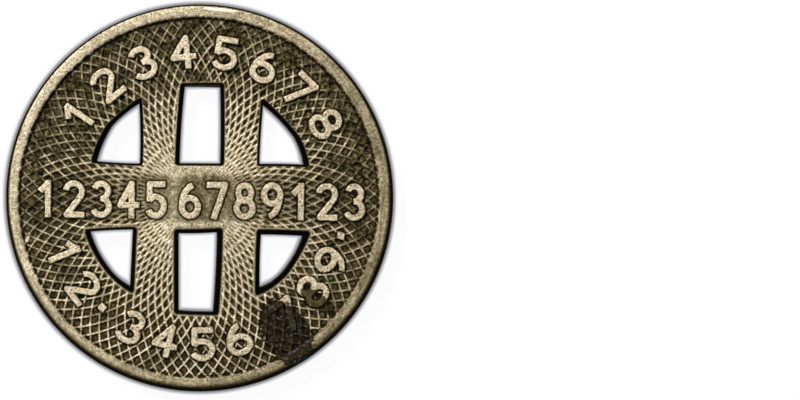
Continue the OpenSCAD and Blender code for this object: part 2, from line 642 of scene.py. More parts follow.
def filling(outlines, strips):
    """Flat points and faces that fill outlines: a strip of quads along a stroke, or one face."""
    vertices, faces = [], []
    for outline in outlines:
        start, count = len(vertices), len(outline)
        vertices += [(x, y, 0.0) for x, y in outline]
        if strips:
            last = start + count - 1
            pairs = range(count // 2 - 1)
            faces += [(start + i, start + i + 1, last - i - 1, last - i) for i in pairs]
        else:
            faces.append(tuple(range(start, start + count)))
    return vertices, faces


def gaps_from(tree, points):
    """Distance of each point from the filled outlines in tree, which is 0 inside them."""
    return np.array([tree.find_nearest((x, y, 0.0))[3] for x, y in points])


def within(points, r):
    return np.hypot(points[:, 0], points[:, 1]) < r


def spaced(points, others, least):
    """Which of points keep at least this far from every one of others."""
    tree = kdtree.KDTree(len(others))
    for i, (x, y) in enumerate(others):
        tree.insert((x, y, 0.0), i)
    tree.balance()
    return np.array([tree.find((x, y, 0.0))[2] >= least for x, y in points])


def ring(r, count):
    turns = np.arange(count) * 2 * math.pi / count
    return np.column_stack([np.cos(turns), np.sin(turns)]) * r


def rosette_points(die, inner_r, outer_r):
    """Points in rows along and between the lattice's ridges, and the edges that run on a ridge."""
    fractions = np.array(CELL_STEPS)
    turns_to_cells = ROSETTE_CIRCLES / (2 * math.pi)
    first_sum = 2 * math.acos(outer_r / (2 * ROSETTE_CIRCLE_R)) * turns_to_cells
    last_sum = 2 * math.acos(inner_r / (2 * ROSETTE_CIRCLE_R)) * turns_to_cells
    steps = len(fractions)
    rows = np.arange(ROSETTE_CIRCLES * steps)
    left = rows // steps + fractions[rows % steps] + die["Turn left"]
    points, numbers = [], {}
    for i, u in enumerate(left):
        for cell in range(math.floor(u + first_sum) - 1, math.ceil(u + last_sum) + 1):
            for j, fraction in enumerate(fractions):
                v = cell + fraction + die["Turn right"]
                if first_sum <= v - u <= last_sum:
                    r = 2 * ROSETTE_CIRCLE_R * math.cos((v - u) * math.pi / ROSETTE_CIRCLES)
                    turn = (u + v) * math.pi / ROSETTE_CIRCLES
                    numbers[(i, cell * steps + j)] = len(points)
                    points.append((r * math.cos(turn), r * math.sin(turn)))
    edges = []
    for (i, j), number in numbers.items():
        if i % steps == 0 and (i, j + 1) in numbers:
            edges.append((number, numbers[(i, j + 1)]))
        if j % steps == 0 and (i + 1, j) in numbers:
            edges.append((number, numbers[(i + 1, j)]))
    return np.array(points) + (die["Rosette x"], die["Rosette y"]), edges


def numeral_rows(outlines, numeral_tree):
    """Rows of points along the strokes, without those that fall on or near another stroke."""
    rows = []
    for gap in NUMERAL_ROWS:
        row = np.concatenate([offset_row(outline, gap) for outline in outlines])
        strays = np.abs(gaps_from(numeral_tree, row) - max(gap, 0.0))
        rows.append(row[strays < STRAY_TOLERANCE])
    return np.concatenate(rows)


def numeral_tops(numeral_tree, reach):
    """Points in staggered rows on top of the numerals."""
    across = np.arange(-reach, reach, NUMERAL_TOP_STEP)
    tops = []
    for k, y in enumerate(across):
        tops += [(x + (k % 2) * NUMERAL_TOP_STEP / 2, y) for x in across]
    tops = np.array(tops)
    tops = tops[within(tops, reach - LEAST_GAP)]
    return tops[gaps_from(numeral_tree, tops) < ON_TOP_TOLERANCE]


def face_points(die, loops, outlines):
    """All the flat points of a face apart from its loops, and the edges kept along the ridges."""
    window_tree = BVHTree.FromPolygons(*filling([own for own, _ in loops], False))
    numeral_tree = BVHTree.FromPolygons(*filling(outlines, True))
    rim_shift = np.hypot(die["Rim x"], die["Rim y"])
    field_r = die["Rim radius"] - SLOPE_W - rim_shift
    slope_end = die["Rim radius"] + rim_shift + RIM_WAVER
    rim_top = OUTER_R - EDGE_ROUND

    rows = numeral_rows(outlines, numeral_tree)
    rows = rows[within(rows, field_r - LEAST_GAP)]
    rows = rows[gaps_from(window_tree, rows) > UPPER_ROLL_W + LEAST_GAP]
    tops = numeral_tops(numeral_tree, field_r)
    tops = tops[spaced(tops, rows, NUMERAL_TOP_STEP / 2)]

    lattice, ridge_edges = rosette_points(die, ROSETTE_EYE_R, die["Rim radius"])
    keep = within(lattice, field_r - LEAST_GAP)
    keep &= gaps_from(window_tree, lattice) > UPPER_ROLL_W + LEAST_GAP / 2
    keep &= gaps_from(numeral_tree, lattice) > NUMERAL_ROWS[-1] + LEAST_GAP / 2
    keep &= spaced(lattice, rows, LEAST_GAP)
    numbers = np.cumsum(keep) - 1
    edges = [(int(numbers[a]), int(numbers[b])) for a, b in ridge_edges if keep[a] and keep[b]]

    radii = list(np.linspace(field_r, slope_end, SLOPE_RINGS))
    radii += list(np.linspace(slope_end, rim_top, RIM_RINGS + 1)[1:])
    radii += [rim_top + EDGE_ROUND * math.sin(math.radians(a)) for a in EDGE_ROUND_ANGLES]
    rings = np.concatenate([ring(r, EDGE_POINTS) for r in radii])
    middle = np.array([(0.0, 0.0)])
    return np.concatenate([lattice[keep], rows, tops, rings, middle]), edges


def triangulated(points, edges, window_count):
    """Joins points into triangles, with the windows left open. The first points are the outer
    edge and the windows' loops. Also gives each point's number among the joined ones."""
    loop_count = 4 * WINDOW_SIDE_POINTS
    starts = [EDGE_POINTS + k * loop_count for k in range(window_count)]
    windows = [list(range(start, start + loop_count)) for start in starts]
    vertices, _, faces, origins, _, windows_of = delaunay_2d_cdt(
        [Vector(p) for p in points], edges, windows, 1, 1e-6, True
    )
    order = np.full(len(points), -1)
    for new, old in enumerate(origins):
        order[old] = new
    triangles = [face for face, inside in zip(faces, windows_of) if not inside]
    return np.array([(v.x, v.y) for v in vertices]), np.array(triangles), order


def closed_edges(loops):
    """The edges that close each loop, with the points numbered one loop after another."""
    edges = []
    for points in loops:
        start, count = len(edges), len(points)
        edges += [(start + i, start + (i + 1) % count) for i in range(count)]
    return edges


def walls_below(face_loops, inner_loops, order, total):
    """Walls from the face's loops to the smaller ones halfway through the token. Gives the places,
    design places, lifts and quads of their points, numbered from total, and the lowest rows."""
    places, designs, lifts, quads, lowest = [], [], [], [], []
    start = 0
    for own, inner in zip(face_loops, inner_loops):
        count = len(own)
        above = order[start : start + count]
        start += count
        for height, share in WALL_ROWS:
            places.append(own * share + inner * (1 - share))
            designs.append(own)
            lifts.append(np.full(count, height))
            below = np.arange(total, total + count)
            total += count
            quads.append(np.column_stack([above, np.roll(above, -1), np.roll(below, -1), below]))
            above = below
        lowest.append(above)
    return [np.concatenate(rows) for rows in (places, designs, lifts, quads, lowest)]


def half_mesh(name, face, loops, outlines):
    """One half of the token, flat as yet: its face, its walls and a cap halfway through.

    Each point carries lift, its share of the way from the cap to the face, and design, the place
    on the face whose relief it follows."""
    edge = ring(OUTER_R, EDGE_POINTS)
    face_loops = [edge] + [own for own, _ in loops]
    inner_loops = [edge] + [inner for _, inner in loops]
    loop_edges = closed_edges(face_loops)
    first = len(loop_edges)

    points, ridge_edges = face_points(face["die"], loops, outlines)
    roll = [own + outward_normals(own) * gap for own, _ in loops for gap in ROLL_ROWS]
    flat = np.concatenate(face_loops + [points] + roll)
    constraints = loop_edges + [(first + a, first + b) for a, b in ridge_edges]
    flat_xy, triangles, order = triangulated(flat, constraints, len(loops))

    walls = walls_below(face_loops, inner_loops, order, len(flat_xy))
    wall_xy, wall_design, wall_lift, quads, lowest = walls
    xy = np.concatenate([flat_xy, wall_xy])
    design = np.concatenate([flat_xy, wall_design])
    lift = np.concatenate([np.ones(len(flat_xy)), wall_lift])

    _, cap, cap_order = triangulated(xy[lowest], loop_edges, len(loops))
    numbers = np.empty(len(cap_order), int)
    numbers[cap_order] = lowest
    cap = numbers[cap]

    side = face["side"]
    faces = [tuple(f) for f in triangles[:, ::side]]
    faces += [tuple(f) for f in quads[:, ::-side]] + [tuple(f) for f in cap[:, ::-side]]
    mesh = new_mesh(name, [(x * MM, y * MM, HALF_T * MM) for x, y in xy], faces)
    is_smooth = [True] * (len(faces) - len(cap)) + [False] * len(cap)
    mesh.polygons.foreach_set("use_smooth", is_smooth)
    mesh.attributes.new("lift", "FLOAT", "POINT").data.foreach_set("value", lift)
    design = np.column_stack([design, np.zeros(len(design))]).astype(np.float32)
    mesh.attributes.new("design", "FLOAT_VECTOR", "POINT").data.foreach_set("vector", design.ravel())
    return mesh


# ---------------------------------------------------------------- the strike

# Inputs of the strike's nodes alone, in millimetres
STRIKE_INPUTS = {
    "Side": 1.0,
    "Wear seed": 0.0,
    "Half thickness": HALF_T,
    "Edge round": EDGE_ROUND,
    "Slope width": SLOPE_W,
    "Field depth": FIELD_DEPTH,
    "Pit depth": 0.1,
    "Pit swell": 0.03,
    "Ridge rise": 0.05,
    "Plain rise": 0.01,
    "Numeral drop": 0.04,
    "Numeral wall": 0.09,
    "Numeral waver": 0.13,
    "Rim waver": 0.1,
    "Fine rim waver": 0.06,
    "Ridge bite": 0.05,
    "Rim crown": 0.1,
    "Dent depth": 0.035,
    "Roll drop": 0.12,
    "Unevenness": 0.03,
}


def named_attribute(tree, name, kind):
    node = tree.nodes.new("GeometryNodeInputNamedAttribute")
    node.data_type = kind
    node.inputs["Name"].default_value = name
    return Wire(tree, next(s for s in node.outputs if s.enabled and s.name == "Attribute"))


def stored(tree, flow, name, value):
    """The geometry in flow with value kept on its points under a name."""
    node = tree.nodes.new("GeometryNodeStoreNamedAttribute")
    node.data_type = "FLOAT"
    node.domain = "POINT"
    node.inputs["Name"].default_value = name
    feed(tree, node.inputs["Geometry"], flow)
    feed(tree, next(s for s in node.inputs if s.enabled and s.name == "Value"), value)
    return Wire(tree, node.outputs[0])


def gap_to(tree, plate_object, place):
    """Distance from a place on the face to the filled outlines of a plate."""
    info = tree.nodes.new("GeometryNodeObjectInfo")
    feed(tree, info.inputs["Object"], plate_object)
    near = tree.nodes.new("GeometryNodeProximity")
    near.target_element = "FACES"
    tree.links.new(info.outputs["Geometry"], near.inputs["Geometry"])
    feed(tree, near.inputs["Sample Position"], place)
    return Wire(tree, near.outputs["Distance"])


def field_relief(at):
    """Ridges between pits whose floors swell a little, and plain metal beside the windows.
    Gives the field's height from the rim's level, and the ridges' share of it."""
    gap_a, gap_b = rosette_gaps(at)
    half = at.ridge_half_width
    ridges = both(bell(gap_a, 0.0, half), bell(gap_b, 0.0, half))
    worn = noise(at.tree, at.seeded, 0.9) * 0.7 + 0.55
    swell = ramp(gap_a.least(gap_b), 0.12, 0.26) * at.pit_swell
    lattice = ridges * (at.pit_depth + at.ridge_rise * worn.least(1.0)) + swell
    patterned = ramp(at.middle_gap, at.plain_band * 0.5, at.plain_band)
    patterned = patterned * ramp(at.window_gap, at.roll_w * 0.6, at.roll_w * 1.2)
    lattice = blend(at.pit_depth + at.plain_rise, lattice, patterned)
    return lattice - at.pit_depth - at.field_depth, ridges


def with_rim(at, relief, ridges):
    """The relief with its dented, slightly crowned rim, whose inner line wavers."""
    rim_r = at.rim_radius
    waver = (noise(at.tree, at.seeded, 0.8, 3.0) - 0.5) * at.rim_waver
    waver = waver + (noise(at.tree, at.seeded, 2.6) - 0.5) * at.fine_rim_waver
    waver = waver + (ridges - MEAN_RIDGES) * at.ridge_bite
    from_middle = radius(at.x - at.rim_x, at.y - at.rim_y) + waver
    slope_w = at.slope_width
    on_rim = ramp(from_middle, rim_r - slope_w * 0.6, rim_r + slope_w * 0.4)
    crown = (at.r - rim_r) / (at.outer_radius - rim_r) - CROWN_PLACE
    dents = ramp(noise(at.tree, at.seeded, 1.6), 0.66, 0.8) * at.dent_depth
    return blend(relief, -(crown * crown * at.rim_crown) - dents, on_rim)


def with_soft_edges(at, relief):
    """The relief rounded over at the outer edge and rolled over into the windows."""
    edge_round = at.edge_round
    past = (at.r - at.outer_radius + edge_round).most(0.0)
    relief = relief - (edge_round - (edge_round * edge_round - past * past).root())
    inward = 1.0 - (at.window_gap / at.roll_w).least(1.0)
    return relief - at.roll_drop * (1.0 - (1.0 - inward * inward).root())


def strike_tree():
    """Geometry nodes that raise the flat halves into relief by each point's design place."""
    tree = bpy.data.node_groups.new("strike", "GeometryNodeTree")
    tree.is_modifier = True
    others = {
        "Half": "Geometry",
        "Numerals": "Object",
        "Windows": "Object",
        "Middle windows": "Object",
        "Metal": "Material",
    }
    at = give_inputs(tree, others, {**STRIKE_INPUTS, **DIE_INPUTS})
    design = named_attribute(tree, "design", "FLOAT_VECTOR")
    find_place(at, design)
    at.seeded = joined_vector(tree, at.x, at.y, at.wear_seed)
    at.window_gap = gap_to(tree, at.windows, design)
    at.middle_gap = gap_to(tree, at.middle_windows, design)
    numeral_gap = gap_to(tree, at.numerals, design)
    waver = (noise(tree, at.seeded, 2.6) - 0.5) * ramp(numeral_gap, 0.0, 0.04)
    numeral_gap = numeral_gap + waver * at.numeral_waver

    field, ridges = field_relief(at)
    risen = 1.0 - ramp(numeral_gap, 0.0, at.numeral_wall)
    relief = with_rim(at, blend(field, -at.numeral_drop, risen), ridges)
    relief = with_soft_edges(at, relief)
    relief = relief + (noise(tree, at.seeded, 3.0, 3.0) - 0.5) * at.unevenness

    lift = named_attribute(tree, "lift", "FLOAT")
    height = (relief + at.half_thickness) * lift * at.side + at.half_thickness
    position = tree.nodes.new("GeometryNodeInputPosition")
    place_x, place_y, _ = split_vector(tree, Wire(tree, position.outputs[0]))
    raised = tree.nodes.new("GeometryNodeSetPosition")
    feed(tree, raised.inputs["Geometry"], at.half)
    feed(tree, raised.inputs["Position"], joined_vector(tree, place_x, place_y, height * MM))
    flow = stored(tree, Wire(tree, raised.outputs[0]), "numeral_gap", numeral_gap)
    flow = stored(tree, flow, "window_gap", at.window_gap)
    flow = stored(tree, flow, "middle_gap", at.middle_gap)
    realize = tree.nodes.new("GeometryNodeRealizeInstances")
    feed(tree, realize.inputs[0], flow)
    dress = tree.nodes.new("GeometryNodeSetMaterial")
    tree.links.new(realize.outputs[0], dress.inputs["Geometry"])
    feed(tree, dress.inputs["Material"], at.metal)
    give_outputs(tree, "Geometry", {"Half": Wire(tree, dress.outputs[0])})
    return tree


def plate(name, outlines, strips):
    """A flat object that holds filled outlines, for the strike to measure from."""
    return add_object(name, new_mesh(name, *filling(outlines, strips)))


def struck_half(name, face, tree, metal):
    """One half of the token, raised into relief as a plain mesh."""
    loops = window_loops(name)
    openings = [own for own, _ in loops]
    outlines = face_numerals(face)
    flat = add_object(name + "_flat", half_mesh(name, face, loops, outlines))
    plates = {
        "Numerals": plate(name + "_numerals", outlines, True),
        "Windows": plate(name + "_windows", openings, False),
        "Middle windows": plate(name + "_middle_windows", openings[:MIDDLE_WINDOWS], False),
    }
    settings = {
        "Metal": metal,
        "Side": float(face["side"]),
        "Wear seed": face["wear_seed"],
        **plates,
        **face["die"],
    }
    modifier = flat.modifiers.new("strike", "NODES")
    modifier.node_group = tree
    for item in tree.interface.items_tree:
        if item.in_out == "INPUT" and item.name in settings:
            modifier[item.identifier] = settings[item.name]
    bpy.context.view_layer.update()
    evaluated = flat.evaluated_get(bpy.context.evaluated_depsgraph_get())
    struck = add_object(name + "_strike", bpy.data.meshes.new_from_object(evaluated))
    for spent in (flat, *plates.values()):
        bpy.data.objects.remove(spent)
    return struck


# ---------------------------------------------------------------- the metal

# Spans over which the toning changes. Radii and places are from the middle of the token.
RING_START = (6.4, 8.2)
BESIDE_RIM = (9.0, 10.1)
LOW_TO_HIGH = (-9.0, 3.5)
TOWARDS_SIDE = (0.3, 0.9)
CROSSBAR_EDGE = (1.7, 2.3)
CROSSBAR_INNER_END = (2.4, 4.0)
BESIDE_LEVEL = (6.4, 7.4)
LEVEL_ROW_EDGE = (1.2, 1.6)
LEVEL_ROW_END = (8.5, 9.5)
MIDDLE_DIP = (1.0, 2.6)
BETWEEN_WALLS = (8.0, 9.0)
# Distances from a ridge, a numeral, an opening, or the rim's inner line
PIT_FLOOR = (0.1, 0.2)
NUMERAL_SHADE_START = 0.28
NUMERAL_EDGE = (0.01, 0.07)
# The black lip at an opening is painted shade.
BLACK_LIP = (0.04, 0.16)
RIM_EDGE = (-0.05, 0.03)
# Shares of the way up a wall over which a window wall turns black, as painted shade, and at which
# each wall's tone ends
WINDOW_WALL_TOP = (0.6, 0.84)
WALL_TOP = (0.84, 0.96)
# Middle and half width of a crease of painted shade by a numeral or inside the rim, and of
# the cleaner streak
NUMERAL_CREASE = (0.1, 0.05)
RIM_CREASE = (-0.1, 0.05)
CLEAN_STREAK = (-1.5, 0.25)
# How far inside the outer radius the black line of painted shade ends, and the wall's tone starts
# and ends
EDGE_BLACK_END = 0.13
EDGE_WALL_START = 0.09
EDGE_WALL_END = 0.01

# Tones of the metal that both faces share, as inputs of their toning
METAL_TONES = {
    "Ridge tone": 0.47,
    "Plain tone": 0.32,
    "Numeral tone": 0.785,
    "Edge wall tone": 0.46,
    # The window walls are darker than the outer wall as painted shade.
    "Window wall tone": 0.24,
    "Crossbar wear": -0.15,
}

# Colours of the metal by tone, from black, for grime and for painted shade, to rubbed nickel silver
TONES = [
    (0.0, (0.0015, 0.0012, 0.0006)),
    (0.1, (0.0110, 0.0091, 0.0044)),
    (0.19, (0.0370, 0.0284, 0.0103)),
    (0.35, (0.1119, 0.0908, 0.0395)),
    (0.6, (0.3140, 0.2623, 0.1589)),
    (0.76, (0.5149, 0.4342, 0.2874)),
    (0.92, (0.7682, 0.6654, 0.4793)),
    (1.0, (0.87, 0.78, 0.60)),
]
GLINT_COLOUR = (0.12, 0.13, 0.24)

# Blemishes and painted highlights of each face, as seen from above the obverse: middle, reach
# along and across, turn in degrees, tone, strength. The first is a dried film, or the stain that
# takes its glints on the reverse, and the rest are stains, rubbed spots, scratches, and the
# painted highlights of tone 1.0 on the outer rim.
BLEMISHES_AND_HIGHLIGHTS = {
    "obverse": [
        ((5.1, -8.0), (2.3, 1.45), -60, 0.09, 1.0),
        ((6.95, -6.1), (1.25, 0.5), -36, 0.11, 0.88),
        # A painted highlight along the top of the outer rim
        ((1.17, 11.13), (1.1, 0.1), -6, 1.0, 0.9),
        ((-10.21, -2.45), (0.24, 0.1), 60, 0.95, 1.0),
        ((10.5, 2.8), (0.4, 0.16), 105, 0.32, 0.8),
        ((9.62, -5.1), (0.4, 0.16), 62, 0.34, 0.8),
        ((-0.95, 1.6), (0.4, 0.02), -61, 0.3, 0.9),
    ],
    "reverse": [
        ((-1.8, 9.4), (0.5, 0.35), 20, 0.12, 0.85),
        ((2.6, -8.3), (0.4, 0.3), 0, 0.16, 0.6),
        ((-1.17, 11.09), (0.22, 0.04), 96, 0.03, 1.0),
        ((1.9, -10.78), (0.4, 0.12), 10, 0.34, 0.8),
        # A painted highlight on the outer rim
        ((-11.03, 1.94), (0.6, 0.08), 80, 1.0, 0.9),
    ],
}


def study_place(at):
    """Adds what the toning reads at each place: the way out from the middle, and noises."""
    group, design = at.tree, at.design
    find_place(at, design)
    at.out_x = at.x / at.r.most(0.1)
    at.out_y = at.y / at.r.most(0.1)
    at.in_ring = ramp(at.r + at.out_y * 0.6, *RING_START)
    at.near_rim = ramp(at.r, *BESIDE_RIM)
    at.broken = noise(group, design, 2.6, 3.0, 0.6) - 0.5
    at.lumps = noise(group, design, 3.8, 2.0, 0.6) - 0.5
    at.patchy = noise(group, design, 0.6) - 0.5
    at.present = ramp(noise(group, design, 0.8), 0.36, 0.56)
    across = joined_vector(group, at.out_x * 8.0, at.out_y * 8.0, at.r * 8.0)
    at.streaks = noise(group, across, 1.0, 2.0, 0.6) - 0.5
    at.mottling = at.mottle - 0.5
    # The rim's lean: partly painted light, one side brighter as if lit from there, partly tarnish.
    at.leaning = at.out_x * at.rim_lean_x + at.out_y * at.rim_lean_y


def rubbed_share(at):
    """How rubbed the heights are: most in the middle of the token, least above it in the ring."""
    wear = blend(at.lower_wear, at.upper_wear, ramp(at.y, *LOW_TO_HIGH))
    wear = wear + at.patchy * 0.5 - ramp(at.out_x * at.unworn_side, *TOWARDS_SIDE) * 0.15
    wear = blend(1.0, wear, at.in_ring)
    crossbar = 1.0 - ramp(at.y.magnitude(), *CROSSBAR_EDGE)
    crossbar = crossbar * ramp(at.x.magnitude(), *CROSSBAR_INNER_END)
    beside = ramp(at.r, *BESIDE_LEVEL)
    return wear + crossbar * blend(at.crossbar_wear, at.beside_level_wear, beside)


def level_grime(at):
    """Grime between the numerals on the crossbar, apart from one streak that is half clean."""
    grime = 1.0 - ramp(at.numeral_gap, NUMERAL_SHADE_START, at.shade_reach)
    grime = grime * (1.0 - ramp(at.r, *LEVEL_ROW_END))
    grime = grime * (1.0 - ramp(at.y.magnitude(), *LEVEL_ROW_EDGE))
    return grime * (1.0 - bell(at.x, *CLEAN_STREAK) * 0.5) * at.level_shade


def lattice_tone(at, wear, grime):
    """Rubbed ridges over dark floors, fainter where they are less rubbed. Gives the tone and the
    share of ridge in it."""
    gap_a, gap_b = rosette_gaps(at)
    half = at.ridge_half_width * (1.0 - at.in_ring * 0.22)
    unrubbed = 1.0 - wear.least(1.0)
    ridges = both(bell(gap_a, 0.0, half), bell(gap_b, 0.0, half))
    ridges = ridges * (1.0 - unrubbed * (1.0 - at.present) * 0.7)
    middle_dip = (1.0 - ramp(at.r, *MIDDLE_DIP)) * 0.14
    ridge = at.ridge_tone + wear * 0.35 + at.in_ring * 0.1
    ridge = ridge + at.near_rim * (0.12 - unrubbed * 0.36) - grime - middle_dip
    ridge = ridge + at.broken * 0.6 + (at.present - 0.4) * unrubbed * 0.25
    ridge = ridge + at.lumps * unrubbed * 0.5
    # Pit floors: dark with patina, and darker still at the ridges' feet as painted shade.
    floor = at.floor_tone + ramp(gap_a.least(gap_b), *PIT_FLOOR) * 0.1 + at.broken * 0.25
    floor = floor + unrubbed * (0.045 + at.near_rim * 0.02) + at.lumps * (0.3 + unrubbed * 0.7)
    field = blend(floor, ridge, ridges)
    return field + at.mottling * 0.5 + ramp(at.mottling, 0.1, 0.2) * unrubbed * 0.25, ridges


def with_plain_metal(at, tone, wear, grime):
    """The tone with the plain metal beside the windows and on their rolled lips."""
    plain = 1.0 - ramp(at.middle_gap, at.plain_band * 0.6, at.plain_band)
    plain = plain.most(1.0 - ramp(at.window_gap, at.roll_w * 0.6, at.roll_w * 1.2))
    plain_tone = at.plain_tone + wear * 0.38 - grime * 1.1
    return blend(tone, plain_tone + at.broken * 0.4 + at.mottling * 0.5, plain)


def with_numerals(at, tone):
    """The tone with the rubbed numerals, each in a dark crease of painted shade."""
    # The rim's lean also tilts the numerals' tone: partly painted light, partly tarnish.
    numeral = at.numeral_tone + at.leaning * 0.3 + at.broken * 0.25 + at.mottling * 0.5
    # Painted shade: a dark crease round each numeral's foot.
    crease = bell(at.numeral_gap, *NUMERAL_CREASE)
    tone = tone * (1.0 - crease * (0.72 + at.patchy * 1.2 + at.broken))
    return blend(numeral, tone, ramp(at.numeral_gap, *NUMERAL_EDGE))


def with_rim_tone(at, tone, ridges):
    """The tone with the rubbed rim and a crease of painted shade inside it, deepest at the top."""
    from_line = radius(at.x - at.rim_x, at.y - at.rim_y) - at.rim_radius
    from_line = from_line + at.broken * 0.12 + (ridges - MEAN_RIDGES) * 0.05
    # Painted shade: the crease inside the rim, deepest at the top.
    tone = tone * (1.0 - bell(from_line, *RIM_CREASE) * (0.66 + at.out_y * 0.18))
    # The lean brightens one side of the rim: partly painted light, partly tarnish.
    rim = at.rim_tone + at.leaning + at.broken * 0.3 + at.patchy * 0.3
    rim = rim + at.mottling * 0.65 + at.streaks * 0.45
    return blend(tone, rim, ramp(from_line, *RIM_EDGE))


def with_black_edges(at, tone):
    """The tone with painted shade at the rolled lips, window walls and outer edge, and the walls'
    tones.
    """
    # Painted shade: the rolled lips darken towards the openings, edged by a black lip.
    rolled = (at.window_gap / at.roll_w).least(1.0)
    tone = tone * (0.25 + ramp(rolled, 0.1, 0.9) * 0.75)
    tone = tone * ramp(at.window_gap, *BLACK_LIP)
    # Painted shade: a black line along the outer edge, wider where the edge dark inputs lean.
    outer_r = at.outer_radius
    edge_lean = at.out_x * at.edge_dark_x + at.out_y * at.edge_dark_y
    edge_start = outer_r - at.edge_dark_width + edge_lean
    tone = tone * (1.0 - ramp(at.r, edge_start, outer_r - EDGE_BLACK_END) * 0.98)
    uneven = (at.broken + at.mottling) * 0.3
    edge_wall = at.edge_wall_tone + uneven
    # Painted shade: window walls darker than the outer wall, and black near the face.
    window_wall = (at.window_wall_tone + uneven) * (1.0 - ramp(at.lift, *WINDOW_WALL_TOP))
    wall = blend(window_wall, edge_wall, ramp(at.r, *BETWEEN_WALLS))
    past_edge = ramp(at.r, outer_r - EDGE_WALL_START, outer_r - EDGE_WALL_END)
    return blend(tone, wall, (1.0 - ramp(at.lift, *WALL_TOP)).most(past_edge))


def struck_tone_group():
    """How bright each place on the metal is: 0 in black creases, 1 on the most rubbed heights."""
    group = bpy.data.node_groups.new("struck_tone", "ShaderNodeTree")
    measured = {"Numeral gap": 1.0, "Window gap": 1.0, "Middle gap": 1.0, "Lift": 1.0, "Mottle": 0.5}
    numbers = {**measured, **METAL_TONES, **FACES["obverse"]["toning"], **DIE_INPUTS}
    at = give_inputs(group, {"Design": "Vector"}, numbers)
    study_place(at)
    wear = rubbed_share(at)
    grime = level_grime(at)
    tone, ridges = lattice_tone(at, wear, grime)
    tone = with_plain_metal(at, tone, wear, grime)
    tone = with_numerals(at, tone)
    tone = with_rim_tone(at, tone, ridges)
    tone = with_black_edges(at, tone)
    give_outputs(group, "Float", {"Tone": tone})
    return group


def speckle_group():
    """Fine mottling and grain, from millimetre places on the object."""
    group = bpy.data.node_groups.new("metal_speckle", "ShaderNodeTree")
    at = give_inputs(group, {"Place": "Vector"}, {"Mottle scale": 5.0, "Grain scale": 10.0})
    mottle = noise(group, at.place, at.mottle_scale, 3.0, 0.6)
    grain = noise(group, at.place, at.grain_scale, 2.0, 0.7)
    give_outputs(group, "Float", {"Mottle": mottle, "Grain": grain})
    return group


def placed_group(tree, group, values):
    """A shader group in a material, with its values, as wires from its outputs by name."""
    node = tree.nodes.new("ShaderNodeGroup")
    node.node_tree = group
    for name, value in values.items():
        feed(tree, node.inputs[name], value)
    return {socket.name: Wire(tree, socket) for socket in node.outputs}


def point_attribute(tree, name, output="Fac"):
    node = tree.nodes.new("ShaderNodeAttribute")
    node.attribute_name = name
    return Wire(tree, node.outputs[output])


def object_place(tree):
    """Millimetre places on the object."""
    places = tree.nodes.new("ShaderNodeTexCoord")
    node = tree.nodes.new("ShaderNodeVectorMath")
    node.operation = "SCALE"
    tree.links.new(places.outputs["Object"], node.inputs[0])
    node.inputs["Scale"].default_value = 1 / MM
    return Wire(tree, node.outputs[0])


def blemish_or_highlight_cover(x, y, middle, reach, turn, ragged):
    """1 inside a blemish's or painted highlight's ragged oval, 0 outside it."""
    c, s = from_axis(1, turn)
    x = x - middle[0]
    y = y - middle[1]
    along = (x * c + y * s) / reach[0]
    across = (y * c - x * s) / reach[1]
    return 1.0 - ramp(radius(along, across) + ragged * 0.7, 0.88, 1.0)


def metal_colour(tree, tone):
    colours = tree.nodes.new("ShaderNodeValToRGB")
    elements = colours.color_ramp.elements
    while len(elements) < len(TONES):
        elements.new(0.5)
    for element, (position, colour) in zip(elements, TONES):
        element.position = position
        element.color = (*colour, 1.0)
    feed(tree, colours.inputs["Fac"], tone)
    return colours.outputs["Color"]


def tinted(tree, colour, tint, share):
    mix = tree.nodes.new("ShaderNodeMix")
    mix.data_type = "RGBA"
    colour_a, colour_b = [s for s in mix.inputs if s.type == "RGBA"]
    feed(tree, mix.inputs[0], share)
    tree.links.new(colour, colour_a)
    colour_b.default_value = (*tint, 1.0)
    return next(s for s in mix.outputs if s.type == "RGBA")


def show(tree, shader, kind="Material"):
    """Joins a shader to the surface of its material, or to the world."""
    output = tree.nodes.new("ShaderNodeOutput" + kind)
    tree.links.new(shader.outputs[0], output.inputs["Surface"])


